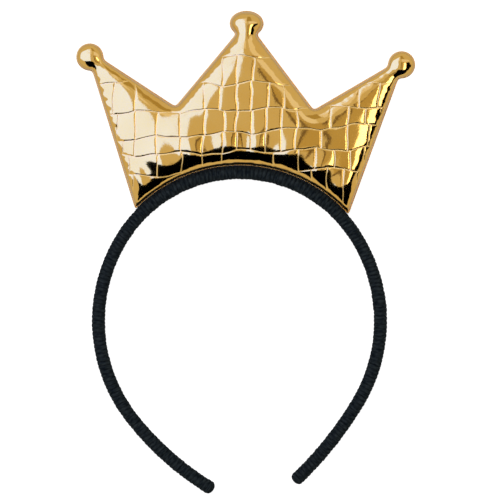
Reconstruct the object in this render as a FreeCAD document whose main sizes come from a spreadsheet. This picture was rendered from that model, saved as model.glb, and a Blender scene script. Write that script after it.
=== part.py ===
# Crown headband: a padded crown of gold film, glued to the top of a black wound hair hoop.
# Millimetres. The pieces are drawn with the hoop lying in the XY plane, the centre of its top
# bend at the origin, the crown towards +Y and its front towards +Z. The rest placement then
# lays the headband on its back, as it comes to rest on a table, with +Z up.
import FreeCAD, Part
import math
import os

import Sketcher
from FreeCAD import Placement, Rotation, Vector

doc = FreeCAD.newDocument("crown_headband")

# Driving dimensions
sheet = doc.addObject("Spreadsheet::Sheet", "sizes")
driving = [
    ("hoop_top_radius", 63.1),         # centre line of the band over the top of the head
    ("hoop_side_radius", 72.3),        # the flatter bend down each side
    ("left_arm_radius", 135.6),        # the nearly straight stretch to the left end
    ("right_arm_radius", 170.1),       # the same on the right, where the band is pulled open
    ("hoop_top_angle", 57.9),          # degrees turned by each half of the top bend
    ("left_side_angle", 70.4),
    ("right_side_angle", 63.1),
    ("left_arm_angle", 20.1),
    ("right_arm_angle", 15.1),
    ("wrap_thickness", 5.7),           # the wound band, measured outwards from the head
    ("wrap_depth", 7.6),               # the wound band, front to back
    ("wrap_end_length", 2.4),          # rounded end of the winding, past the strip
    ("strip_thickness", 2.4),
    ("strip_depth", 4.8),
    ("glue_thickness", 0.35),          # between the band and the crown's lower edge
    ("glue_depth", 2.6),
    ("glue_sink", 0.6),                # how far the glue reaches down round the band
    ("crown_turn", 1.43),              # the crown sits a little turned, in degrees
    ("crown_corner_angle", 47.3),      # lower corner, in degrees round the hoop from its top
    ("side_tip_across", 73.5),
    ("side_tip_height", 52.2),         # crown heights are measured from the glue at the hoop's top
    ("notch_across", 31.6),
    ("notch_height", 26.3),
    ("centre_tip_height", 67.1),
    ("side_ball_inset", 2.3),          # from a side prong's point across to its ball's centre
    ("side_ball_drop", 4.3),           # and down to it
    ("side_ball_radius", 6.3),
    ("centre_ball_drop", 2.2),         # from the middle prong's point down to its ball's centre
    ("centre_ball_half_width", 7.9),
    ("centre_ball_half_height", 5.9),
    ("ball_puff", 5.2),                # half the thickness of a padded ball
    ("crown_puff", 8.4),               # half the thickness of the padded crown
    ("puff_reach", 13.0),              # how far in from the weld the film goes on rising
    ("rim_width", 1.2),                # flat weld round the edge
    ("film_thickness", 0.5),
    ("grain_cell", 10.0),              # usual width and height of the film's embossed cells
    ("crease_width", 0.6),             # the grooves between the cells
    ("crease_depth", 0.25),
]
for row, (alias, value) in enumerate(driving, start=1):
    sheet.set("A%d" % row, alias)
    sheet.set("B%d" % row, str(value))
    sheet.setAlias("B%d" % row, alias)
doc.recompute()

SIDES = {"left": -1, "right": 1}
SEAT_RADIUS = "(sizes.hoop_top_radius + sizes.wrap_thickness / 2 + sizes.glue_thickness)"
SIDE_BALL_ACROSS = "(sizes.side_tip_across - sizes.side_ball_inset)"
SIDE_BALL_HEIGHT = "(%s + sizes.side_tip_height - sizes.side_ball_drop)" % SEAT_RADIUS
CENTRE_BALL_HEIGHT = "(%s + sizes.centre_tip_height - sizes.centre_ball_drop)" % SEAT_RADIUS
PUFF_STEPS = 5
PUFF_STEP_ANGLE = 16

# The film's grain, in cells. Each cross crease has its height over the glue and its climb to the
# right. The upright creases stand in bands: under the lowest cross crease, between it and the
# next, and so on, and are given by how far they stand from the crown's middle.
CROSS_CREASES = ((-0.3, 0.06), (0.64, 0.055), (1.52, 0.085), (2.55, 0.05), (3.75, 0.02), (4.94, 0.0))
UPRIGHT_CREASES = (
    (-4.98, 3.11, 3.81, 4.59, 5.2),
    (-5.2, -3.92, -2.78, -1.87, -0.98, 1.35, 2.52, 3.27, 4.15, 4.88, 5.5),
    (-5.5, -4.98, -3.98, -2.85, -1.87, -0.96, -0.3, 0.31, 0.97, 1.68, 2.36, 3.52, 4.72, 5.68),
    (-5.75, -4.95, -3.97, -2.92, -1.8, -0.9, -0.37, 0.35, 1.0, 1.7, 2.42, 3.93, 4.7, 5.51, 6.2),
    (-6.0, -5.0, -1.85, -1.12, -0.38, 0.3, 1.08, 1.77, 5.18, 6.1),
    (-1.03, -0.4, 0.4),
)
CREASE_WAVE = 0.1


def size(alias):
    """The present value of one driving dimension."""
    return float(sheet.get(alias))


def seat_radius():
    """Radius of the crown's lower edge, which sits on the glue round the top of the hoop."""
    return size("hoop_top_radius") + size("wrap_thickness") / 2 + size("glue_thickness")


def plane(body, role):
    """One of the body's own origin planes."""
    return [item for item in body.Origin.OriginFeatures if item.Role == role][0]


def sketch_on(body, role, name):
    sketch = body.newObject("Sketcher::SketchObject", name)
    sketch.AttachmentSupport = [(plane(body, role), "")]
    sketch.MapMode = "FlatFace"
    return sketch


def constrain(sketch, kind, *values, formula=None):
    """Add a constraint, tied to the sheet where a formula is given."""
    index = sketch.addConstraint(Sketcher.Constraint(kind, *values))
    if formula:
        sketch.setExpression("Constraints[%d]" % index, formula)


# Hoop
def bends(side):
    """Centre, radius, start and end angle (from the top, in radians) of one side's three bends."""
    angles = [size("hoop_top_angle"), size(side + "_side_angle"), size(side + "_arm_angle")]
    radii = [size("hoop_top_radius"), size("hoop_side_radius"), size(side + "_arm_radius")]
    centre = Vector(0, 0, 0)
    turned = 0.0
    found = []
    for index, radius in enumerate(radii):
        if index > 0:
            outward = Vector(SIDES[side] * math.sin(turned), math.cos(turned), 0)
            centre = centre + outward * (radii[index - 1] - radius)
        start = turned
        turned = turned + math.radians(angles[index])
        found.append((centre, radius, start, turned))
    return found


def arm_end(side):
    """Point and outward direction at the end of one arm's centre line."""
    centre, radius, _, turned = bends(side)[-1]
    outward = Vector(SIDES[side] * math.sin(turned), math.cos(turned), 0)
    along = Vector(SIDES[side] * math.cos(turned), -math.sin(turned), 0)
    return centre + outward * radius, along


def arm_path(body, side):
    """One half of the hoop's centre line: three bends, each tangent to the next."""
    sketch = sketch_on(body, "XY_Plane", side + "_path_" + body.Name)
    sign = SIDES[side]
    near, far = (2, 1) if side == "right" else (1, 2)
    radii = ["hoop_top_radius", "hoop_side_radius", side + "_arm_radius"]
    spans = ["hoop_top_angle", side + "_side_angle", side + "_arm_angle"]
    for centre, radius, start, stop in bends(side):
        low, high = sorted((math.pi / 2 - sign * start, math.pi / 2 - sign * stop))
        circle = Part.Circle(centre, Vector(0, 0, 1), radius)
        sketch.addGeometry(Part.ArcOfCircle(circle, low, high), False)
    constrain(sketch, "Coincident", 0, 3, -1, 1)
    constrain(sketch, "PointOnObject", 0, near, -2)
    constrain(sketch, "Tangent", 0, far, 1, near)
    constrain(sketch, "Tangent", 1, far, 2, near)
    for index in range(3):
        constrain(sketch, "Radius", index, size(radii[index]), formula="sizes." + radii[index])
        constrain(sketch, "Angle", index, math.radians(size(spans[index])),
                  formula="sizes.%s * 1 deg" % spans[index])
    return sketch


def oval_section(body):
    """Section of the winding: an ellipse across the band, at the top of the hoop."""
    sketch = sketch_on(body, "YZ_Plane", "oval_" + body.Name)
    middle = Vector(size("hoop_top_radius"), 0, 0)
    front = middle + Vector(0, size("wrap_depth") / 2, 0)
    outside = middle + Vector(size("wrap_thickness") / 2, 0, 0)
    sketch.addGeometry(Part.Ellipse(front, outside, middle), False)
    sketch.exposeInternalGeometry(0)
    constrain(sketch, "PointOnObject", 0, 3, -1)
    constrain(sketch, "Vertical", 1)
    constrain(sketch, "DistanceX", -1, 1, 0, 3, middle.x, formula="sizes.hoop_top_radius")
    constrain(sketch, "Distance", 1, size("wrap_depth"), formula="sizes.wrap_depth")
    constrain(sketch, "Distance", 2, size("wrap_thickness"), formula="sizes.wrap_thickness")
    return sketch


def flat_section(body, inner, thickness, depth):
    """A rectangle across the band at the top of the hoop, from the inner radius outwards."""
    sketch = sketch_on(body, "YZ_Plane", "flat_" + body.Name)
    low = size("hoop_top_radius")
    corners = [Vector(low, -1, 0), Vector(low + 1, -1, 0), Vector(low + 1, 1, 0), Vector(low, 1, 0)]
    for index, corner in enumerate(corners):
        sketch.addGeometry(Part.LineSegment(corner, corners[(index + 1) % 4]), False)
    for index in range(4):
        constrain(sketch, "Coincident", index, 2, (index + 1) % 4, 1)
    constrain(sketch, "Horizontal", 0)
    constrain(sketch, "Horizontal", 2)
    constrain(sketch, "Vertical", 3)
    constrain(sketch, "Symmetric", 1, 1, 1, 2, -1)
    constrain(sketch, "DistanceX", -1, 1, 0, 1, low, formula=inner)
    constrain(sketch, "DistanceX", 0, 1, 0, 2, 1, formula=thickness)
    constrain(sketch, "DistanceY", 1, 1, 1, 2, 2, formula=depth)
    return sketch


def strip_section(body):
    return flat_section(body, "sizes.hoop_top_radius - sizes.strip_thickness / 2",
                        "sizes.strip_thickness", "sizes.strip_depth")


def sweep(body, kind, section, side):
    """Carry a section down one arm, adding to the body or cutting from it."""
    path = arm_path(body, side)
    pipe = body.newObject("PartDesign::" + kind, "%s_%s_%s" % (side, kind, body.Name))
    pipe.Profile = section
    pipe.Spine = (path, ["Edge1", "Edge2", "Edge3"])
    doc.recompute()


def rounded_end(body, side):
    """The winding closes over the strip in a blunt rounded end."""
    tip, along = arm_end(side)
    cap = body.newObject("PartDesign::AdditiveEllipsoid", side + "_end")
    cap.setExpression("Radius1", "sizes.wrap_depth / 2")
    cap.setExpression("Radius2", "sizes.wrap_end_length")
    cap.setExpression("Radius3", "sizes.wrap_thickness / 2")
    cap.Angle1 = -90
    cap.Angle2 = 90
    cap.Placement = Placement(tip, Rotation(Vector(1, 0, 0), along))
    doc.recompute()


def make_strip():
    """The springy strip that gives the hoop its shape."""
    body = doc.addObject("PartDesign::Body", "hoop_core")
    section = strip_section(body)
    for side in SIDES:
        sweep(body, "AdditivePipe", section, side)
    return body


def make_winding():
    """The black cord winding round the strip, closed at both ends."""
    body = doc.addObject("PartDesign::Body", "hoop_wrap")
    section = oval_section(body)
    for side in SIDES:
        sweep(body, "AdditivePipe", section, side)
    for side in SIDES:
        rounded_end(body, side)
    channel = strip_section(body)
    for side in SIDES:
        sweep(body, "SubtractivePipe", channel, side)
    return body


def make_glue():
    """The bead of glue under the crown's lower edge, shaped to the band that it lies on."""
    body = doc.addObject("PartDesign::Body", "glue_line")
    section = flat_section(body, SEAT_RADIUS + " - sizes.glue_thickness - sizes.glue_sink",
                           "sizes.glue_thickness + sizes.glue_sink", "sizes.glue_depth")
    bead = body.newObject("PartDesign::Revolution", "bead")
    bead.Profile = section
    bead.ReferenceAxis = (section, ["V_Axis"])
    bead.Midplane = True
    bead.setExpression("Angle", "sizes.crown_corner_angle * 2")
    doc.recompute()
    groove = body.newObject("PartDesign::Groove", "band_groove")
    groove.Profile = oval_section(body)
    groove.ReferenceAxis = (groove.Profile[0], ["V_Axis"])
    groove.Angle = 360
    doc.recompute()
    return body


# Crown
def crown_outline():
    """The crown's edge without its balls: three sharp prongs over an arc that follows the hoop."""
    sketch = doc.addObject("Sketcher::SketchObject", "crown_outline")
    turned = math.radians(size("crown_corner_angle"))
    seat = seat_radius()
    corner = Vector(seat * math.sin(turned), seat * math.cos(turned), 0)
    side_tip = Vector(size("side_tip_across"), seat + size("side_tip_height"), 0)
    notch = Vector(size("notch_across"), seat + size("notch_height"), 0)
    centre_tip = Vector(0, seat + size("centre_tip_height"), 0)
    right = [corner, side_tip, notch]
    left = [Vector(-point.x, point.y, 0) for point in reversed(right)]
    points = right + [centre_tip] + left
    for index in range(6):
        sketch.addGeometry(Part.LineSegment(points[index], points[index + 1]), False)
    circle = Part.Circle(Vector(0, 0, 0), Vector(0, 0, 1), seat)
    sketch.addGeometry(Part.ArcOfCircle(circle, math.pi / 2 - turned, math.pi / 2 + turned), False)
    for index in range(5):
        constrain(sketch, "Coincident", index, 2, index + 1, 1)
    constrain(sketch, "Coincident", 5, 2, 6, 2)
    constrain(sketch, "Coincident", 6, 1, 0, 1)
    constrain(sketch, "Coincident", 6, 3, -1, 1)
    constrain(sketch, "Horizontal", 0, 1, 5, 2)
    constrain(sketch, "Symmetric", 0, 2, 4, 2, -2)
    constrain(sketch, "Symmetric", 1, 2, 3, 2, -2)
    constrain(sketch, "PointOnObject", 2, 2, -2)
    constrain(sketch, "Radius", 6, seat, formula=SEAT_RADIUS)
    constrain(sketch, "Angle", 6, 2 * turned, formula="sizes.crown_corner_angle * 2 deg")
    for line, point, place in ((0, side_tip, "side_tip"), (1, notch, "notch")):
        constrain(sketch, "DistanceX", -1, 1, line, 2, point.x, formula="sizes.%s_across" % place)
        constrain(sketch, "DistanceY", -1, 1, line, 2, point.y,
                  formula="%s + sizes.%s_height" % (SEAT_RADIUS, place))
    constrain(sketch, "DistanceY", -1, 1, 2, 2, centre_tip.y,
              formula=SEAT_RADIUS + " + sizes.centre_tip_height")
    return sketch


def pillow(name, outline, depth):
    """Front half of the padded body: the outline drawn in from the weld and raised, step by step.

    The depth is a formula: how far the surface lies below the film's outside."""
    sections = []
    for step in range(PUFF_STEPS + 1):
        angle = step * PUFF_STEP_ANGLE
        inset = doc.addObject("Part::Offset2D", "%s_inset_%d" % (name, step))
        inset.Source = outline
        inset.Join = 2
        inset.setExpression("Value", "-(sizes.rim_width + %s + (sizes.puff_reach - %s)"
                            " * (1 - cos(%d deg)))" % (depth, depth, angle))
        inset.setExpression("Placement.Base.z",
                            "(sizes.crown_puff - %s) * sin(%d deg)" % (depth, angle))
        sections.append(inset)
    loft = doc.addObject("Part::Loft", name)
    loft.Sections = sections
    loft.Solid = True
    loft.Ruled = False
    return loft


def ball_dome(name, depth, across, height, half_width, half_height):
    """Front half of a padded ball, inside its weld."""
    dome = doc.addObject("Part::Ellipsoid", name)
    dome.setExpression("Radius1", "sizes.ball_puff - " + depth)
    dome.setExpression("Radius2", "%s - sizes.rim_width - %s" % (half_width, depth))
    dome.setExpression("Radius3", "%s - sizes.rim_width - %s" % (half_height, depth))
    dome.setExpression("Placement.Base.x", across)
    dome.setExpression("Placement.Base.y", height)
    dome.Angle1 = 0
    dome.Angle2 = 90
    return dome


def puffed_half(name, body, depth):
    """The padded front half: the body and its three balls in one."""
    pieces = [body]
    for side, sign in SIDES.items():
        across = "%d * %s" % (sign, SIDE_BALL_ACROSS)
        pieces.append(ball_dome("%s_%s_ball" % (name, side), depth, across, SIDE_BALL_HEIGHT,
                                "sizes.side_ball_radius", "sizes.side_ball_radius"))
    pieces.append(ball_dome(name + "_centre_ball", depth, "0", CENTRE_BALL_HEIGHT,
                            "sizes.centre_ball_half_width", "sizes.centre_ball_half_height"))
    half = doc.addObject("Part::MultiFuse", name)
    half.Shapes = pieces
    half.Refine = False
    return half


def film_plate(name, outline):
    """A flat outline raised to the film's thickness."""
    plate = doc.addObject("Part::Extrusion", name)
    plate.Base = outline
    plate.DirMode = "Custom"
    plate.Dir = Vector(0, 0, 1)
    plate.Solid = True
    plate.setExpression("LengthFwd", "sizes.film_thickness")
    return plate


def weld_flange(outline):
    """One film's flat weld over the whole outline, balls included."""
    pieces = [film_plate("body_weld", outline)]
    for side, sign in SIDES.items():
        disc = doc.addObject("Part::Cylinder", side + "_ball_weld")
        disc.setExpression("Radius", "sizes.side_ball_radius")
        disc.setExpression("Height", "sizes.film_thickness")
        disc.setExpression("Placement.Base.x", "%d * %s" % (sign, SIDE_BALL_ACROSS))
        disc.setExpression("Placement.Base.y", SIDE_BALL_HEIGHT)
        pieces.append(disc)
    lobe = doc.addObject("Part::Ellipse", "centre_ball_outline")
    lobe.setExpression("MajorRadius", "sizes.centre_ball_half_width")
    lobe.setExpression("MinorRadius", "sizes.centre_ball_half_height")
    lobe.setExpression("Placement.Base.y", CENTRE_BALL_HEIGHT)
    pieces.append(film_plate("centre_ball_weld", lobe))
    flange = doc.addObject("Part::MultiFuse", "weld_flange")
    flange.Shapes = pieces
    return flange


def mirrored(name, source):
    """The same form turned to the back, across the crown's middle plane."""
    copy = doc.addObject("Part::Mirroring", name)
    copy.Source = source
    copy.Normal = Vector(0, 0, 1)
    return copy


def pair(kind, name, base, tool):
    result = doc.addObject("Part::" + kind, name)
    result.Base = base
    result.Tool = tool
    return result


def crease_point(across, row):
    """A place on a cross crease. Below the lowest one lies the crown's bottom edge."""
    if row < 0:
        return Vector(across, row - 1, 0)
    height, climb = CROSS_CREASES[row]
    return Vector(across, height + climb * across + CREASE_WAVE * math.sin(2.1 * across + 1.7 * row), 0)


def crease_lines():
    """End points of every crease, in cells from the middle of the glue."""
    lines = []
    for row, uprights in enumerate(UPRIGHT_CREASES):
        for across in uprights:
            lines.append((crease_point(across, row - 1), crease_point(across, row)))
    reach = max(max(uprights) for uprights in UPRIGHT_CREASES)
    for row in range(len(CROSS_CREASES)):
        for step in range(math.floor(-reach), math.ceil(reach)):
            lines.append((crease_point(step, row), crease_point(step + 1, row)))
    return lines


def crease_walls(outline):
    """Thin upright walls along the creases, standing on the weld's level over the crown."""
    half = size("crease_width") / 2
    inside = Part.Face(outline.Shape)
    pieces = []
    for ends in crease_lines():
        start, stop = [point * size("grain_cell") + Vector(0, seat_radius(), 0) for point in ends]
        if not (inside.isInside(start, half, True) or inside.isInside(stop, half, True)):
            continue
        along = (stop - start).normalize() * half
        beside = Vector(-along.y, along.x, 0)
        corners = [start - along - beside, stop + along - beside,
                   stop + along + beside, start - along + beside]
        base = Part.Face(Part.makePolygon(corners + corners[:1]))
        pieces.append(base.extrude(Vector(0, 0, size("crown_puff"))))
    walls = doc.addObject("Part::Feature", "crease_walls")
    walls.Shape = pieces[0].multiFuse(pieces[1:]).removeSplitter()
    walls.Placement = Placement(Vector(0, 0, size("film_thickness") + size("crease_depth")), Rotation())
    return walls


def make_crown():
    """Two puffed films, welded round the edge, the front one embossed, with wadding between them."""
    outline = crown_outline()
    doc.recompute()
    outside = puffed_half("outside", pillow("outside_body", outline, "0"), "0")
    inside_body = pillow("inside_body", outline, "sizes.film_thickness")
    inside = puffed_half("inside", inside_body, "sizes.film_thickness")
    inside_back = mirrored("inside_back", inside)
    form = pair("Fuse", "front_form", weld_flange(outline), outside)
    smooth_film = pair("Cut", "smooth_film", form, inside)
    crease_floor = pillow("crease_floor", outline, "sizes.crease_depth")
    creases = pair("Cut", "creases", crease_walls(outline), crease_floor)
    front_film = pair("Cut", "crown_front_film", smooth_film, creases)
    back_film = pair("Cut", "crown_back_film", mirrored("back_form", form), inside_back)
    wadding = pair("Fuse", "crown_wadding", inside, inside_back)
    doc.recompute()
    return [front_film, back_film, wadding]


# Rest on a table
def rest_tilt():
    """Degrees that the hoop tips by, lying on the crown's back and its own two ends."""
    top_angle = math.radians(PUFF_STEPS * PUFF_STEP_ANGLE)
    rise = size("crown_puff") * math.sin(top_angle) - size("wrap_depth") / 2
    belly = seat_radius() + size("rim_width") + size("puff_reach") * (1 - math.cos(top_angle))
    reach = belly - arm_end("left")[0].y
    return math.degrees(math.atan2(rise, reach))


def lay_down(hoop_pieces, crown_pieces):
    """Tip the headband onto its back, then centre it over the origin with its lowest point at 0."""
    tip = Placement(Vector(0, 0, 0), Rotation(Vector(1, 0, 0), rest_tilt()))
    turn = Placement(Vector(0, 0, 0), Rotation(Vector(0, 0, 1), -size("crown_turn")))
    places = [(piece, tip) for piece in hoop_pieces]
    places += [(piece, tip.multiply(turn)) for piece in crown_pieces]
    boxes = []
    for piece, place in places:
        tipped = piece.Shape.copy()
        tipped.Placement = place
        boxes.append(tipped.optimalBoundingBox(False))
    middle_x = (min(box.XMin for box in boxes) + max(box.XMax for box in boxes)) / 2
    middle_y = (min(box.YMin for box in boxes) + max(box.YMax for box in boxes)) / 2
    shift = Placement(Vector(-middle_x, -middle_y, -min(box.ZMin for box in boxes)), Rotation())
    for piece, place in places:
        piece.Placement = shift.multiply(place)


def check_and_export(pieces):
    for item in doc.Objects:
        if "Invalid" in item.State or "Error" in item.State:
            raise RuntimeError("%s failed: %s" % (item.Name, item.State))
    for piece in pieces:
        piece.Label = piece.Name
        if piece.Shape.isNull() or not piece.Shape.isValid():
            raise RuntimeError(piece.Name + " has no valid shape")
    os.makedirs("parts", exist_ok=True)
    for piece in pieces:
        piece.Shape.exportStep("parts/%s.step" % piece.Label)
        print("%s: %d solid, %.1f cubic millimetres"
              % (piece.Label, len(piece.Shape.Solids), piece.Shape.Volume))


hoop_pieces = [make_strip(), make_winding()]
crown_pieces = make_crown() + [make_glue()]
lay_down(hoop_pieces, crown_pieces)
check_and_export(hoop_pieces + crown_pieces)
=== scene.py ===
# Looks of the crown headband: a puffed crown of embossed gold film on a hoop wound in black cord.
# Shapes are worked out in the headband's own drawing frame, in millimetres: the hoop lies in XY
# with the centre of its top bend at the origin, the crown towards +Y and its front towards +Z.
import math

import bpy
import numpy as np
from mathutils import Matrix, Vector
from mathutils.geometry import delaunay_2d_cdt


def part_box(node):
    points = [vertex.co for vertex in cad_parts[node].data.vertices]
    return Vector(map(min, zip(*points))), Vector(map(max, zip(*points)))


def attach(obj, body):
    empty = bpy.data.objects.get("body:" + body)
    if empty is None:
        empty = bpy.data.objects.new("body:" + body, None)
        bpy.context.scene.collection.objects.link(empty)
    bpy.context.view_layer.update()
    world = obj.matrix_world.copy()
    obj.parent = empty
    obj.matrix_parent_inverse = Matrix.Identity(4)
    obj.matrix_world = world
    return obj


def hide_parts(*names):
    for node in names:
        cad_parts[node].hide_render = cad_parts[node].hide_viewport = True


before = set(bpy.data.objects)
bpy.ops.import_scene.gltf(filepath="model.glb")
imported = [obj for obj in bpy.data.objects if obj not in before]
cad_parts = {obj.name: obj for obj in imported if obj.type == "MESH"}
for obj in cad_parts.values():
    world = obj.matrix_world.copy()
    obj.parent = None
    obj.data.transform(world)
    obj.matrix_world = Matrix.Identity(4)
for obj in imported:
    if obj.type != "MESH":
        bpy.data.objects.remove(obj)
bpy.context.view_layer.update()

MM = 0.001

# Sizes of the solids, in millimetres and degrees
TOP_RADIUS = 63.1
SIDE_RADIUS = 72.3
ARM_RADII = {"left": 135.6, "right": 170.1}
TOP_ANGLE = 57.9
SIDE_ANGLES = {"left": 70.4, "right": 63.1}
ARM_ANGLES = {"left": 20.1, "right": 15.1}
BAND_THICKNESS = 5.7
BAND_DEPTH = 7.6
SEAT_RADIUS = TOP_RADIUS + BAND_THICKNESS / 2 + 0.35
CORNER_ANGLE = 47.3
CROWN_TURN = 1.43
REST_TILT = 1.608
SIDE_TIP = (73.5, 118.5)
NOTCH = (31.6, 92.6)
CENTRE_TIP_HEIGHT = 133.4
SIDE_BALL = (71.2, 114.2)
SIDE_BALL_RADIUS = 6.3
CENTRE_BALL_HEIGHT = 131.2
CENTRE_BALL_HALF = (7.9, 5.9)

# The weld's rim, and the swell of the film over it: the film stands up steeply beside the weld, then
# swells gently over the wadding, and the two wings lean back a few degrees from the fold outwards.
RIM_WIDTH = 0.45
WALL_HEIGHT = 3.6
CUSHION_HEIGHT = 3.9
WING_FOLD = 27.0
FOLD_SOFTNESS = 2.0
WING_LEAN = 3.5

# Centre, half sizes and swell of each ball
BALLS = (
    ((-SIDE_BALL[0], SIDE_BALL[1]), (SIDE_BALL_RADIUS, SIDE_BALL_RADIUS), 4.4),
    (SIDE_BALL, (SIDE_BALL_RADIUS, SIDE_BALL_RADIUS), 4.4),
    ((0, CENTRE_BALL_HEIGHT), CENTRE_BALL_HALF, 3.9),
)

# The film's grain, in cells of 10 mm, as on the solids: each cross crease has its height over the
# glue and its climb to the right, and the uprights stand in the bands below and between them.
GRAIN_CELL = 10.0
CROSS_CREASES = ((-0.3, 0.06), (0.64, 0.055), (1.52, 0.085), (2.55, 0.05), (3.75, 0.02), (4.94, 0.0))
UPRIGHT_CREASES = (
    (-4.98, 3.11, 3.81, 4.59, 5.2),
    (-5.2, -3.92, -2.78, -1.87, -0.98, 1.35, 2.52, 3.27, 4.15, 4.88, 5.5),
    (-5.5, -4.98, -3.98, -2.85, -1.87, -0.96, -0.3, 0.31, 0.97, 1.68, 2.36, 3.52, 4.72, 5.68),
    (-5.75, -4.95, -3.97, -2.92, -1.8, -0.9, -0.37, 0.35, 1.0, 1.7, 2.42, 3.93, 4.7, 5.51, 6.2),
    (-6.0, -5.0, -1.85, -1.12, -0.38, 0.3, 1.08, 1.77, 5.18, 6.1),
    (-1.03, -0.4, 0.4),
)
CREASE_WAVE = 0.1
CREASE_DEPTH = 0.13
CREASE_HALF_WIDTH = 0.19
CREASE_HIGHLIGHT_HALF_WIDTH = 0.14    # the paler line along a crease: a painted highlight for the groove's mirrored light
CREASE_HIGHLIGHT_STRENGTH = 0.8
CELL_SWELL = 0.05         # each cell swells a little between its creases


def rest_matrix():
    """From the drawing frame in millimetres to the row frame in metres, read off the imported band."""
    low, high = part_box("hoop_wrap")
    tilt = math.radians(REST_TILT)
    out, up = BAND_THICKNESS / 2, BAND_DEPTH / 2
    top_y = TOP_RADIUS * math.cos(tilt) + math.hypot(out * math.cos(tilt), up * math.sin(tilt))
    top_z = TOP_RADIUS * math.sin(tilt) + math.hypot(out * math.sin(tilt), up * math.cos(tilt))
    reach = SIDE_RADIUS + BAND_THICKNESS / 2
    inset = (TOP_RADIUS - SIDE_RADIUS) * math.sin(math.radians(TOP_ANGLE))
    centre = Vector((low.x + (reach + inset) * MM, high.y - top_y * MM, high.z - top_z * MM))
    return Matrix.Translation(centre) @ Matrix.Rotation(tilt, 4, "X") @ Matrix.Scale(MM, 4)


REST = rest_matrix()
CROWN_REST = REST @ Matrix.Rotation(math.radians(-CROWN_TURN), 4, "Z")


# Meshes
def mesh_object(name, points, faces, matrix, material):
    """A smooth piece, its points placed in the row frame."""
    rotation = np.array(matrix.to_3x3())
    placed = np.asarray(points, float) @ rotation.T + np.array(matrix.translation)
    mesh = bpy.data.meshes.new(name)
    mesh.from_pydata(placed.tolist(), [], [tuple(int(i) for i in face) for face in faces])
    mesh.validate()
    mesh.polygons.foreach_set("use_smooth", [True] * len(mesh.polygons))
    mesh.update()
    mesh.materials.append(material)
    piece = bpy.data.objects.new(name, mesh)
    bpy.context.scene.collection.objects.link(piece)
    return piece


def tube_faces(rings, around):
    """Quads of a closed tube whose points come ring by ring."""
    ring, turn = np.meshgrid(np.arange(rings - 1), np.arange(around), indexing="ij")
    after = (turn + 1) % around
    quads = np.stack([ring * around + turn, ring * around + after,
                      (ring + 1) * around + after, (ring + 1) * around + turn], -1)
    return quads.reshape(-1, 4)


def rippled(points, scale, seed):
    """Smooth noise from -1 to 1 over points, made of a few crossed waves."""
    random = np.random.default_rng(seed)
    total = np.zeros(len(points))
    waves = 9
    for _ in range(waves):
        direction = random.normal(size=points.shape[1])
        direction /= np.linalg.norm(direction)
        length = scale * random.uniform(0.7, 1.5)
        total += np.sin(points @ direction * 2 * math.pi / length + random.uniform(0, 2 * math.pi))
    return total / math.sqrt(waves)


# Crown outline
def arc_points(centre, radii, start, stop, step):
    count = max(3, int(abs(stop - start) * sum(radii) / 2 / step))
    angles = np.linspace(start, stop, count)
    return np.stack([centre[0] + radii[0] * np.cos(angles), centre[1] + radii[1] * np.sin(angles)], 1)


def edge_crossing(inside, outside, centre, radii):
    """Angle on an ellipse where the line from a point inside it to one outside leaves it."""
    a, b = np.asarray(inside, float), np.asarray(outside, float)
    shares = np.linspace(0, 1, 2001)[:, None]
    along = (a + (b - a) * shares - centre) / radii
    leaves = along[np.argmax(np.hypot(along[:, 0], along[:, 1]) >= 1)]
    return math.atan2(leaves[1], leaves[0])


def line_points(a, b, step):
    a, b = np.asarray(a, float), np.asarray(b, float)
    count = max(2, int(np.linalg.norm(b - a) / step))
    return a + (b - a) * np.linspace(0, 1, count)[:, None]


def even_loop(points, step):
    """A closed loop resampled at an even spacing."""
    closed = np.vstack([points, points[:1]])
    lengths = np.r_[0, np.cumsum(np.linalg.norm(np.diff(closed, axis=0), axis=1))]
    places = np.linspace(0, lengths[-1], int(round(lengths[-1] / step)), endpoint=False)
    return np.stack([np.interp(places, lengths, closed[:, axis]) for axis in (0, 1)], 1)


def crown_outline(step, passes):
    """The crown's outer edge, anticlockwise from the lower right corner, its corners eased."""
    turned = math.radians(CORNER_ANGLE)
    corner = (SEAT_RADIUS * math.sin(turned), SEAT_RADIUS * math.cos(turned))
    ball = (SIDE_BALL_RADIUS, SIDE_BALL_RADIUS)
    peak = (0.0, CENTRE_BALL_HEIGHT)
    lower = edge_crossing(SIDE_TIP, corner, SIDE_BALL, ball)
    upper = edge_crossing(SIDE_TIP, NOTCH, SIDE_BALL, ball)
    neck = edge_crossing((0, CENTRE_TIP_HEIGHT - 1), NOTCH, peak, CENTRE_BALL_HALF)
    side_lobe = arc_points(SIDE_BALL, ball, lower, upper + 2 * math.pi * (upper < lower), step)
    half_peak = arc_points(peak, CENTRE_BALL_HALF, neck, math.pi / 2, step)
    right = np.vstack([line_points(corner, side_lobe[0], step), side_lobe,
                       line_points(side_lobe[-1], NOTCH, step),
                       line_points(NOTCH, half_peak[0], step), half_peak])
    left = right[::-1] * (-1, 1)
    seat = arc_points((0, 0), (SEAT_RADIUS,) * 2, math.pi / 2 + turned, math.pi / 2 - turned, step)
    loop = even_loop(np.vstack([right, left[1:], seat[1:-1]]), step)
    for _ in range(passes):
        loop = (np.roll(loop, 1, 0) + 2 * loop + np.roll(loop, -1, 0)) / 4
    return even_loop(loop, step)


def loop_normals(loop):
    """Directions straight out of an anticlockwise loop."""
    along = np.roll(loop, -1, 0) - np.roll(loop, 1, 0)
    along /= np.linalg.norm(along, axis=1)[:, None]
    return np.stack([along[:, 1], -along[:, 0]], 1)


def segment_distance(points, starts, stops):
    """Distance from each point to the nearest segment."""
    best = np.full(len(points), 1e9)
    along = stops - starts
    size = (along ** 2).sum(1)
    for index in range(len(starts)):
        offset = points - starts[index]
        share = np.clip(offset @ along[index] / size[index], 0, 1)
        best = np.minimum(best, np.hypot(*(offset - share[:, None] * along[index]).T))
    return best


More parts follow.
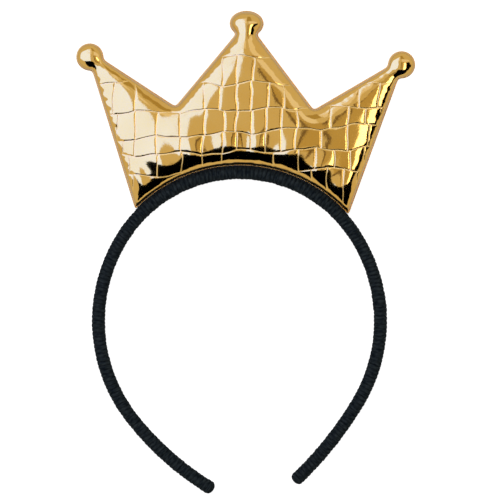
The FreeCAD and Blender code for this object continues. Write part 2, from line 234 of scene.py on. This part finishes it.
def inside_points(points, loop):
    """Which points lie inside a closed loop."""
    inside = np.zeros(len(points), bool)
    after = np.roll(loop, -1, 0)
    for a, b in zip(loop, after):
        crosses = (a[1] <= points[:, 1]) != (b[1] <= points[:, 1])
        if a[1] != b[1]:
            cut = a[0] + (points[:, 1] - a[1]) * (b[0] - a[0]) / (b[1] - a[1])
            inside ^= crosses & (points[:, 0] < cut)
    return inside


def depth_inside(points, loop):
    """How far points lie in from a closed loop, below 0 for those outside it."""
    depth = segment_distance(points, loop, np.roll(loop, -1, 0))
    return np.where(inside_points(points, loop), depth, -depth)


def inside_grid(xs, ys, loop):
    """Which points of a grid lie inside a closed loop."""
    mask = np.zeros((len(ys), len(xs)), bool)
    after = np.roll(loop, -1, 0)
    for row, y in enumerate(ys):
        hit = (loop[:, 1] <= y) != (after[:, 1] <= y)
        rise = (y - loop[hit, 1]) / (after[hit, 1] - loop[hit, 1])
        cuts = np.sort(loop[hit, 0] + rise * (after[hit, 0] - loop[hit, 0]))
        for start, stop in zip(cuts[::2], cuts[1::2]):
            mask[row, (xs > start) & (xs < stop)] = True
    return mask


# Crown surface
SHOULDER = 3.6          # length over which the cushion eases in from the weld
WALL_POWER = 9          # the wall comes up this many times sooner than the cushion
BALL_RING = 0.1
BALL_WALL_POWER = 24
BLEND = 6
COARSEST = 40


def membrane(mask, spacing, rounds=60):
    """A loaded skin over the mask: 0 at its edge, easing towards 1 a few shoulders in."""
    if min(mask.shape) > COARSEST:
        coarse = membrane(mask[::2, ::2], spacing * 2, rounds)
        field = np.repeat(np.repeat(coarse, 2, 0), 2, 1)[:mask.shape[0], :mask.shape[1]]
    else:
        field = mask.astype(float)
    pull = (spacing / SHOULDER) ** 2
    for _ in range(rounds):
        around = np.zeros_like(field)
        around[1:-1, 1:-1] = field[:-2, 1:-1] + field[2:, 1:-1] + field[1:-1, :-2] + field[1:-1, 2:]
        field = np.where(mask, (around + pull) / (4 + pull), 0)
    return field


class Puff:
    """Height of the padded film over the weld, anywhere on the crown."""

    def __init__(self, loop, spacing):
        low, high = loop.min(0) - 2, loop.max(0) + 2
        self.low, self.spacing = low, spacing
        xs = np.arange(low[0], high[0], spacing)
        ys = np.arange(low[1], high[1], spacing)
        self.field = membrane(inside_grid(xs, ys, loop), spacing)

    def filled(self, points):
        place = (points - self.low) / self.spacing
        cell = np.floor(place).astype(int)
        share = place - cell
        column, row = cell.T
        corners = [self.field[row, column], self.field[row, column + 1],
                   self.field[row + 1, column], self.field[row + 1, column + 1]]
        low = corners[0] * (1 - share[:, 0]) + corners[1] * share[:, 0]
        high = corners[2] * (1 - share[:, 0]) + corners[3] * share[:, 0]
        return np.clip(low * (1 - share[:, 1]) + high * share[:, 1], 0, 1)

    def height(self, points):
        filled = self.filled(points)
        wall = WALL_HEIGHT * (1 - (1 - filled) ** WALL_POWER)
        past = (np.abs(points[:, 0]) - WING_FOLD) / FOLD_SOFTNESS
        leaning = FOLD_SOFTNESS * np.log1p(np.exp(np.minimum(past, 30)))
        lean = leaning * math.tan(math.radians(WING_LEAN)) * filled
        height = wall + CUSHION_HEIGHT * filled - lean
        for centre, half, swell in BALLS:
            reach = np.hypot(*((points - centre) / (np.array(half) - BALL_RING)).T)
            reach_in = np.clip(reach, 0, 1)
            dome = swell * (np.sqrt(1 - reach_in ** BALL_WALL_POWER) + 1 - reach_in ** 2) / 2
            height = np.where(reach < 1, (height ** BLEND + dome ** BLEND) ** (1 / BLEND), height)
        return height


# Grain
def crease_point(across, row):
    """A place on a cross crease, in cells; below the lowest one it lies past the bottom edge."""
    if row < 0:
        return (across, row - 1.0)
    height, climb = CROSS_CREASES[row]
    return (across, height + climb * across + CREASE_WAVE * math.sin(2.1 * across + 1.7 * row))


def crease_segments():
    lines = []
    for row, uprights in enumerate(UPRIGHT_CREASES):
        for across in uprights:
            lines.append((crease_point(across, row - 1), crease_point(across, row)))
    for row in range(len(CROSS_CREASES)):
        places = sorted(set(UPRIGHT_CREASES[row]) | {-6.6, 6.6})
        if row + 1 < len(UPRIGHT_CREASES):
            places = sorted(set(places) | set(UPRIGHT_CREASES[row + 1]))
        for start, stop in zip(places, places[1:]):
            lines.append((crease_point(start, row), crease_point(stop, row)))
    ends = np.array(lines) * GRAIN_CELL + (0, SEAT_RADIUS)
    return ends[:, 0], ends[:, 1]


def spaced_along(starts, stops, step, offsets):
    """Rows of points beside each segment."""
    found = []
    for start, stop in zip(starts, stops):
        along = stop - start
        length = np.linalg.norm(along)
        beside = np.array([-along[1], along[0]]) / length
        shares = np.linspace(0, 1, max(2, int(length / step)))[:, None]
        for offset in offsets:
            found.append(start + along * shares + beside * offset)
    return np.vstack(found)


def hex_points(low, high, step):
    rows = []
    for index, y in enumerate(np.arange(low[1], high[1], step * math.sqrt(3) / 2)):
        xs = np.arange(low[0] + (index % 2) * step / 2, high[0], step)
        rows.append(np.stack([xs, np.full(len(xs), y)], 1))
    return np.vstack(rows)


def film_mesh(loop, points):
    """Triangles over the points inside a loop."""
    count = len(loop)
    everything = np.vstack([loop, points])
    result = delaunay_2d_cdt([Vector(p) for p in everything], [], [list(range(count))], 1, 0.01)
    return np.array([tuple(p) for p in result[0]]), result[2]


EDGE_ROWS = (0.2, 0.45, 0.8, 1.2)              # rows of points in from the film's edge
CREASE_ROWS = (0, -0.2, 0.2, -0.48, 0.48)      # and beside each crease
ROW_STEP = 0.5


def film_points(loop, edge, step, creases):
    """Points for a film's mesh: spread evenly, in rows beside the creases, and in rows by the edge."""
    clear = EDGE_ROWS[-1] + 0.2
    spread = hex_points(loop.min(0), loop.max(0), step)
    spread = spread[depth_inside(spread, edge) > clear]
    beside = np.vstack([edge - loop_normals(edge) * inward for inward in EDGE_ROWS])
    beside = beside[depth_inside(beside, edge) > EDGE_ROWS[0] * 0.9]
    if creases is None:
        return np.vstack([spread, beside])
    spread = spread[segment_distance(spread - wobble(spread), *creases) > 0.7]
    rows = spaced_along(*creases, ROW_STEP, CREASE_ROWS)
    rows = rows + wobble(rows)
    rows = rows[depth_inside(rows, edge) > clear]
    return np.vstack([spread, rows, beside])


def make_film(name, side, loop, puff, material, step, creases=None):
    """One film of the crown; side is 1 for the front and -1 for the back."""
    edge = loop - loop_normals(loop) * RIM_WIDTH * 0.8
    flat, faces = film_mesh(edge, film_points(loop, edge, step, creases))
    height = puff.height(flat)
    inset = segment_distance(flat, loop[::2], np.roll(loop[::2], -1, 0))
    height = np.where(inset < RIM_WIDTH, np.minimum(height, inset * 0.3), height)
    if creases is not None:
        apart = segment_distance(flat - wobble(flat), *creases)
        fade = np.clip((inset - RIM_WIDTH) / 2.5, 0, 1) * grain_strength(flat)
        height = height - CREASE_DEPTH * fade * np.exp(-(apart / CREASE_HALF_WIDTH) ** 2)
        height = height + CELL_SWELL * fade * (1 - np.exp(-apart / 1.5))
    height = height + surface_relief(flat, inset)
    points = np.column_stack([flat, side * np.maximum(height, 0.05)])
    if side < 0:
        faces = [face[::-1] for face in faces]
    film = mesh_object(name, points, faces, CROWN_REST, material)
    if creases is not None:
        # A paler, less metallic line along each crease: a painted highlight.
        crease_highlight = CREASE_HIGHLIGHT_STRENGTH * fade * np.exp(-(apart / CREASE_HIGHLIGHT_HALF_WIDTH) ** 2)
        film.data.attributes.new("crease", "FLOAT", "POINT").data.foreach_set("value", crease_highlight)
    return film


def wobble(points):
    """Small sideways wanderings of the creases."""
    return 0.3 * np.stack([rippled(points, 11, 31), rippled(points, 11, 37)], 1)


def grain_strength(points):
    """The embossing fades out towards the balls."""
    strength = np.ones(len(points))
    for centre, _, _ in BALLS:
        strength *= np.clip((np.hypot(*(points - centre).T) - 8) / 6, 0, 1)
    return strength


# Height and length of the film's small waves
WAVES = (0.07, 26)
DIMPLES = (0.03, 9)
PUCKERS = (0.055, 4)
GATHERS = (0.25, 13)


def surface_relief(points, inset):
    """Gentle waves of the wadding, small puckers beside the weld, and gathers above the hoop."""
    deep = np.clip((inset - RIM_WIDTH) / 6, 0, 1)
    waves = deep * (WAVES[0] * rippled(points, WAVES[1], 3) + DIMPLES[0] * rippled(points, DIMPLES[1], 5))
    beside = np.exp(-((inset - 2.4) / 1.5) ** 2)
    puckers = PUCKERS[0] * beside * rippled(points, PUCKERS[1], 7)
    radius = np.hypot(*points.T)
    along = np.arctan2(points[:, 0], points[:, 1]) * SEAT_RADIUS
    low = np.exp(-((radius - SEAT_RADIUS - 10) / 8) ** 2) * np.clip((inset - 1) / 4, 0, 1)
    drift = 0.7 * rippled(points[:, :1], 30, 9)
    gathers = GATHERS[0] * low * np.cos(2 * math.pi * (along - 6) / GATHERS[1] + drift)
    return waves + puckers + gathers


WELD_STEP = 0.2
WELD_RIB_PITCH = 0.8

# The weld's section: how far out over the rim, as a share of its width, and how high
WELD_SECTION = ((1.0, 0.0), (0.96, 0.34), (0.7, 0.5), (0.4, 0.52), (0.1, 0.42), (-0.15, 0.2),
                (-0.15, -0.2), (0.1, -0.42), (0.4, -0.52), (0.7, -0.5), (0.96, -0.34))


def make_weld(loop, material):
    """The pressed weld round the crown, with its fine ribs."""
    fine = even_loop(loop, WELD_STEP)
    out = loop_normals(fine)
    ribs = 0.5 + 0.5 * np.cos(np.arange(len(fine)) * WELD_STEP * 2 * math.pi / WELD_RIB_PITCH)
    rings = []
    for outward, level in WELD_SECTION:
        place = fine + out * ((outward - 1) * RIM_WIDTH)
        lift = level * (1 - 0.16 * ribs * (abs(level) > 0.3))
        rings.append(np.column_stack([place, lift]))
    points = np.stack(rings, 1).reshape(-1, 3)
    faces = tube_faces(len(fine) + 1, len(WELD_SECTION)) % len(points)
    return mesh_object("crown_weld", points, faces[:, ::-1], CROWN_REST, material)


# Hoop
def hoop_line(step):
    """Centre line of the hoop from its left end to its right: points and outward directions."""
    halves = {}
    for side, sign in (("left", -1), ("right", 1)):
        spans = (TOP_ANGLE, SIDE_ANGLES[side], ARM_ANGLES[side])
        radii = (TOP_RADIUS, SIDE_RADIUS, ARM_RADII[side])
        centre, turned = np.zeros(2), 0.0
        points, outs = [], []
        for index, (span, radius) in enumerate(zip(spans, radii)):
            outward = np.array([sign * math.sin(turned), math.cos(turned)])
            if index:
                centre = centre + outward * (radii[index - 1] - radius)
            span = math.radians(span)
            angles = turned + np.linspace(0, span, max(2, int(round(span * radius / step))), endpoint=False)
            out = np.stack([sign * np.sin(angles), np.cos(angles)], 1)
            points.append(centre + out * radius)
            outs.append(out)
            turned += span
        halves[side] = (np.vstack(points), np.vstack(outs))
    left, right = halves["left"], halves["right"]
    return (np.vstack([left[0][:0:-1], right[0]]), np.vstack([left[1][:0:-1], right[1]]))


RIB_PITCH = 1.9
RIB_HEIGHT = 0.28
RINGS_PER_RIB = 7
ROUND = 40
END_LENGTH = 2.3
WIDE_EXTRA = 0.16     # the cord stands a little out from the band's edges
DEEP_LESS = 0.12      # and lies a little flatter on its faces


def make_winding(material):
    """The black cord wound round the hoop, turn beside turn, closed over both ends."""
    step = RIB_PITCH / RINGS_PER_RIB
    centre, out = hoop_line(step)
    cap = np.arange(1, int(END_LENGTH / step) + 1) * step
    before = np.array([out[0][1], -out[0][0]]) * -1
    after = np.array([out[-1][1], -out[-1][0]])
    centre = np.vstack([centre[0] + before * cap[::-1, None], centre, centre[-1] + after * cap[:, None]])
    out = np.vstack([np.repeat(out[:1], len(cap), 0), out, np.repeat(out[-1:], len(cap), 0)])
    rings = len(centre)
    place = np.arange(rings) * step
    past = np.maximum(np.maximum(len(cap) - np.arange(rings), np.arange(rings) - (rings - 1 - len(cap))), 0)
    narrow = np.sqrt(np.clip(1 - (past / (len(cap) + 0.3)) ** 2, 0.0, 1))
    turn = np.arange(ROUND) * 2 * math.pi / ROUND
    grid_place, grid_turn = np.meshgrid(place, turn, indexing="ij")
    strand = (grid_place / RIB_PITCH + grid_turn / (2 * math.pi)) % 1
    rib = RIB_HEIGHT * (np.sqrt(np.clip(1 - (2 * strand - 1) ** 2, 0, 1)) - 0.85)
    which = np.floor(grid_place / RIB_PITCH + grid_turn / (2 * math.pi)).astype(int)
    uneven = np.random.default_rng(11).normal(0, 0.06, which.max() + 2)
    round_turn = grid_turn.ravel()
    skin = np.column_stack([grid_place.ravel(), 2.4 * np.cos(round_turn), 2.4 * np.sin(round_turn)])
    lumps = (0.03 * rippled(skin, 1.3, 21) + 0.025 * rippled(skin, 0.6, 23)).reshape(grid_place.shape)
    swell = rib + uneven[which] + lumps
    wide = (BAND_THICKNESS / 2 + WIDE_EXTRA + swell) * narrow[:, None]
    deep = (BAND_DEPTH / 2 - DEEP_LESS + swell) * narrow[:, None]
    points = np.empty((rings, ROUND, 3))
    points[..., :2] = centre[:, None] + out[:, None] * (wide * np.cos(grid_turn))[..., None]
    points[..., 2] = deep * np.sin(grid_turn)
    points = points.reshape(-1, 3)
    faces = [tuple(face) for face in tube_faces(rings, ROUND)]
    faces.append(tuple(range(ROUND))[::-1])
    faces.append(tuple(range((rings - 1) * ROUND, rings * ROUND)))
    piece = mesh_object("hoop_winding", points, faces, REST, material)
    layer = piece.data.uv_layers.new(name="strand")
    corners = np.empty(len(piece.data.loops), np.int32)
    piece.data.loops.foreach_get("vertex_index", corners)
    uv = np.stack([grid_place.ravel()[corners] / RIB_PITCH, grid_turn.ravel()[corners] / (2 * math.pi)], 1)
    layer.data.foreach_set("uv", uv.astype(np.float32).ravel())
    return piece


# Materials
def new_material(name):
    material = bpy.data.materials.new(name)
    material.use_nodes = True
    return material, material.node_tree, material.node_tree.nodes["Principled BSDF"]


def noise(tree, scale, detail, vector):
    node = tree.nodes.new("ShaderNodeTexNoise")
    node.inputs["Scale"].default_value = scale
    node.inputs["Detail"].default_value = detail
    tree.links.new(vector, node.inputs["Vector"])
    return node


def ramp(tree, source, stops):
    node = tree.nodes.new("ShaderNodeValToRGB")
    tree.links.new(source, node.inputs["Fac"])
    elements = node.color_ramp.elements
    while len(elements) < len(stops):
        elements.new(0.5)
    for element, (position, colour) in zip(elements, stops):
        element.position = position
        element.color = (*colour, 1)
    return node


def spread_range(tree, source, low, high):
    node = tree.nodes.new("ShaderNodeMapRange")
    node.inputs["To Min"].default_value = low
    node.inputs["To Max"].default_value = high
    tree.links.new(source, node.inputs["Value"])
    return node.outputs["Result"]


def bump(tree, height, strength, distance, before=None):
    node = tree.nodes.new("ShaderNodeBump")
    node.inputs["Strength"].default_value = strength
    node.inputs["Distance"].default_value = distance
    tree.links.new(height, node.inputs["Height"])
    if before is not None:
        tree.links.new(before, node.inputs["Normal"])
    return node.outputs["Normal"]


def object_place(tree):
    return tree.nodes.new("ShaderNodeTexCoord").outputs["Object"]


def gold_film():
    """Metallised gold film under a thin clear lacquer, a little uneven."""
    material, tree, shader = new_material("gold_film")
    place = object_place(tree)
    cloudy = noise(tree, 60, 3, place)
    tint = ramp(tree, cloudy.outputs["Fac"], ((0.3, (0.97, 0.53, 0.08)), (0.7, (1.0, 0.58, 0.11))))
    # The crease attribute makes a paler, less metallic and rougher line along each crease: a painted
    # highlight.
    crease = tree.nodes.new("ShaderNodeAttribute")
    crease.attribute_name = "crease"
    painted_highlight_colour = tree.nodes.new("ShaderNodeMixRGB")
    painted_highlight_colour.inputs["Color2"].default_value = (1.0, 0.72, 0.26, 1)
    tree.links.new(crease.outputs["Fac"], painted_highlight_colour.inputs["Fac"])
    tree.links.new(tint.outputs["Color"], painted_highlight_colour.inputs["Color1"])
    tree.links.new(painted_highlight_colour.outputs["Color"], shader.inputs["Base Color"])
    tree.links.new(spread_range(tree, crease.outputs["Fac"], 1.0, 0.25), shader.inputs["Metallic"])
    smooth = spread_range(tree, noise(tree, 220, 4, place).outputs["Fac"], 0.05, 0.1)
    highlight_roughness = tree.nodes.new("ShaderNodeMath")
    highlight_roughness.operation = "MULTIPLY_ADD"
    highlight_roughness.inputs[1].default_value = 0.5
    tree.links.new(crease.outputs["Fac"], highlight_roughness.inputs[0])
    tree.links.new(smooth, highlight_roughness.inputs[2])
    tree.links.new(highlight_roughness.outputs["Value"], shader.inputs["Roughness"])
    shader.inputs["Coat Weight"].default_value = 1.0
    shader.inputs["Coat Roughness"].default_value = 0.05
    fine = noise(tree, 900, 2, place)
    tree.links.new(bump(tree, fine.outputs["Fac"], 0.04, 0.0003), shader.inputs["Normal"])
    return material


def black_cord():
    """Matt black textile cord with a faint cool tint and a fine fibre to it, and painted shade in the
    grooves between its turns.
    """
    material, tree, shader = new_material("black_cord")
    strand = tree.nodes.new("ShaderNodeUVMap")
    strand.uv_map = "strand"
    stretch = tree.nodes.new("ShaderNodeMapping")
    stretch.inputs["Scale"].default_value = (2.2, 7, 1)
    tree.links.new(strand.outputs["UV"], stretch.inputs["Vector"])
    fibre = noise(tree, 1.0, 4, stretch.outputs["Vector"])
    place = object_place(tree)
    fuzz = noise(tree, 2600, 3, place)
    tint = ramp(tree, fibre.outputs["Fac"], ((0.35, (0.002, 0.0045, 0.0055)), (0.7, (0.021, 0.027, 0.028))))
    # Each turn of cord is painted darker towards its edges: painted shade in the grooves between the turns.
    parts = tree.nodes.new("ShaderNodeSeparateXYZ")
    tree.links.new(strand.outputs["UV"], parts.inputs["Vector"])
    turn = tree.nodes.new("ShaderNodeMath")
    tree.links.new(parts.outputs["X"], turn.inputs[0])
    tree.links.new(parts.outputs["Y"], turn.inputs[1])
    share = tree.nodes.new("ShaderNodeMath")
    share.operation = "FRACT"
    tree.links.new(turn.outputs["Value"], share.inputs[0])
    groove_shade = ramp(tree, share.outputs["Value"], ((0.0, (0.35,) * 3), (0.2, (0.85,) * 3), (0.5, (1.0,) * 3),
                                               (0.8, (0.85,) * 3), (1.0, (0.35,) * 3)))
    shaded = tree.nodes.new("ShaderNodeMixRGB")
    shaded.blend_type = "MULTIPLY"
    shaded.inputs["Fac"].default_value = 1
    tree.links.new(tint.outputs["Color"], shaded.inputs["Color1"])
    tree.links.new(groove_shade.outputs["Color"], shaded.inputs["Color2"])
    tree.links.new(shaded.outputs["Color"], shader.inputs["Base Color"])
    shader.inputs["Roughness"].default_value = 0.8
    shader.inputs["Specular IOR Level"].default_value = 0.06
    shader.inputs["Sheen Weight"].default_value = 0.02
    shader.inputs["Sheen Roughness"].default_value = 0.4
    shader.inputs["Sheen Tint"].default_value = (0.75, 0.9, 0.95, 1)
    rough = bump(tree, fuzz.outputs["Fac"], 0.5, 0.00015)
    tree.links.new(bump(tree, fibre.outputs["Fac"], 0.6, 0.0002, rough), shader.inputs["Normal"])
    return material


def plain_material(name, dark, light, scale, roughness):
    """A dull surface with a slight mottle, for what lies inside or between."""
    material, tree, shader = new_material(name)
    mottle = noise(tree, scale, 4, object_place(tree))
    tint = ramp(tree, mottle.outputs["Fac"], ((0.3, dark), (0.7, light)))
    tree.links.new(tint.outputs["Color"], shader.inputs["Base Color"])
    shader.inputs["Roughness"].default_value = roughness
    shader.inputs["Specular IOR Level"].default_value = 0.15
    tree.links.new(bump(tree, mottle.outputs["Fac"], 0.3, 0.0002), shader.inputs["Normal"])
    return material


def glow(name, colour):
    """A plain emitter for the cards."""
    material = bpy.data.materials.new(name)
    material.use_nodes = True
    tree = material.node_tree
    tree.nodes.clear()
    emission = tree.nodes.new("ShaderNodeEmission")
    emission.inputs["Color"].default_value = (*colour, 1)
    output = tree.nodes.new("ShaderNodeOutputMaterial")
    tree.links.new(emission.outputs["Emission"], output.inputs["Surface"])
    return material


def white_floor():
    """Pale paper that renders white to the camera, and still takes a shadow."""
    material, tree, shader = new_material("floor_paper")
    shader.inputs["Base Color"].default_value = (0.48, 0.48, 0.48, 1)
    shader.inputs["Roughness"].default_value = 0.9
    path = tree.nodes.new("ShaderNodeLightPath")
    lift = tree.nodes.new("ShaderNodeMath")
    lift.operation = "MULTIPLY"
    lift.inputs[1].default_value = FLOOR_LIFT
    tree.links.new(path.outputs["Is Camera Ray"], lift.inputs[0])
    shader.inputs["Emission Color"].default_value = (1, 1, 1, 1)
    tree.links.new(lift.outputs["Value"], shader.inputs["Emission Strength"])
    return material


# Stage
FLOOR_LIFT = 0.8
WORLD_LEVEL = 0.6
LAMP_POWER = 20
FLOOR_REACH = 3.0


CARD_HEIGHT = 0.9
COOL = (0.9, 1.37, 4.5)            # cool light that the gold film turns to cream

# What hangs over the film for it to mirror: the reach of each card in x and in y, in metres, and
# its colour. Some overlap in their one plane, so how they are placed decides which one shows there.
CARDS = {
    "softbox_left": ((-1.7, -0.1), (-0.17, 0.8), COOL),
    "dark_right": ((0.09, 0.13), (-0.15, 0.2), (0.15, 0.12, 0.1)),
    "dim_right": ((0.13, 0.28), (-0.1, 0.25), (0.47, 0.42, 0.28)),
    "streak_right": ((0.3, 0.48), (-0.17, 0.17), (3.0, 3.0, 3.5)),
    "flag_right": ((0.5, 1.6), (-0.17, 0.16), (0.0, 0.0, 0.0)),
    "pale_right": ((0.15, 0.9), (0.24, 0.47), (0.78, 0.86, 1.3)),
    "dim_back": ((0.01, 0.35), (0.46, 1.4), (0.4, 0.35, 0.2)),
    "pale_back": ((-0.35, 0.0), (0.28, 0.9), (0.78, 0.86, 1.3)),
    "flag_front": ((-0.5, 0.85), (-1.6, -0.17), (0.0, 0.0, 0.0)),
}


def flat_panel(name, size, material):
    """A flat panel round its own centre."""
    half_x, half_y = size[0] / 2, size[1] / 2
    corners = [(-half_x, -half_y, 0), (half_x, -half_y, 0), (half_x, half_y, 0), (-half_x, half_y, 0)]
    mesh = bpy.data.meshes.new(name)
    mesh.from_pydata(corners, [], [(0, 1, 2, 3)])
    mesh.materials.append(material)
    panel = bpy.data.objects.new(name, mesh)
    bpy.context.scene.collection.objects.link(panel)
    return panel


def make_card(name, across, along, colour):
    """A card facing down, which only the film's mirroring sees."""
    centre = (sum(across) / 2, sum(along) / 2, CARD_HEIGHT)
    below = (centre[0], centre[1], 0)
    panel = flat_panel(name, (across[1] - across[0], along[1] - along[0]), glow(name, colour))
    facing = (Vector(below) - Vector(centre)).to_track_quat("Z", "Y")
    panel.matrix_world = Matrix.Translation(centre) @ facing.to_matrix().to_4x4()
    panel.visible_camera = False
    panel.visible_shadow = False
    panel.visible_diffuse = False


def make_lamp():
    """A wide soft lamp overhead, which the film doesn't mirror."""
    lamp = bpy.data.lights.new("soft_overhead", "AREA")
    lamp.shape = "DISK"
    lamp.size = 1.6
    lamp.energy = LAMP_POWER
    overhead = bpy.data.objects.new("soft_overhead", lamp)
    overhead.location = (-0.2, 0.3, 1.9)
    aim = Vector((0, 0.06, 0)) - overhead.location
    overhead.rotation_euler = aim.to_track_quat("-Z", "Y").to_euler()
    overhead.visible_glossy = False
    bpy.context.scene.collection.objects.link(overhead)


def make_stage():
    floor = flat_panel("floor", (2 * FLOOR_REACH, 2 * FLOOR_REACH), white_floor())
    floor.location.z = -0.0002
    for name, (across, along, colour) in CARDS.items():
        make_card(name, across, along, colour)
    make_lamp()
    world = bpy.data.worlds.new("studio")
    world.use_nodes = True
    background = world.node_tree.nodes["Background"]
    background.inputs["Color"].default_value = (1, 1, 1, 1)
    background.inputs["Strength"].default_value = WORLD_LEVEL
    bpy.context.scene.world = world


def make_camera():
    """Straight above, with the photograph's framing."""
    data = bpy.data.cameras.new("camera")
    distance, across = 1.8, 0.2288
    data.sensor_width = 36
    data.lens = data.sensor_width * (distance - 0.006) / across
    data.clip_end = 10
    camera = bpy.data.objects.new("camera", data)
    camera.location = (0.00197, 0.0010, distance)
    bpy.context.scene.collection.objects.link(camera)
    bpy.context.scene.camera = camera


# The headband
def finish_piece(piece, slot, *nodes):
    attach(piece, "root")
    if nodes:
        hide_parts(*nodes)
    return piece


def paint(node, material):
    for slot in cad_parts[node].material_slots:
        slot.material = material


gold = gold_film()
outline = crown_outline(0.4, 14)
puff = Puff(outline - loop_normals(outline) * RIM_WIDTH, 0.5)
front = make_film("crown_front", 1, outline, puff, gold, 0.7, crease_segments())
back = make_film("crown_back", -1, outline, puff, gold, 1.0)
weld = make_weld(outline, gold)
winding = make_winding(black_cord())
finish_piece(front, "gold_film", "crown_front_film")
finish_piece(back, "gold_film", "crown_back_film", "crown_wadding")
finish_piece(weld, "gold_film")
finish_piece(winding, "black_cord", "hoop_wrap")
# The glue is painted near black, as painted shade in the gap between the weld and the hoop.
paint("glue_line", plain_material("glue", (0.004, 0.004, 0.004), (0.012, 0.012, 0.012), 400, 0.9))
paint("hoop_core", plain_material("hoop_strip", (0.03, 0.03, 0.03), (0.06, 0.06, 0.06), 300, 0.5))
make_stage()
make_camera()
bpy.context.scene.view_settings.view_transform = "Standard"
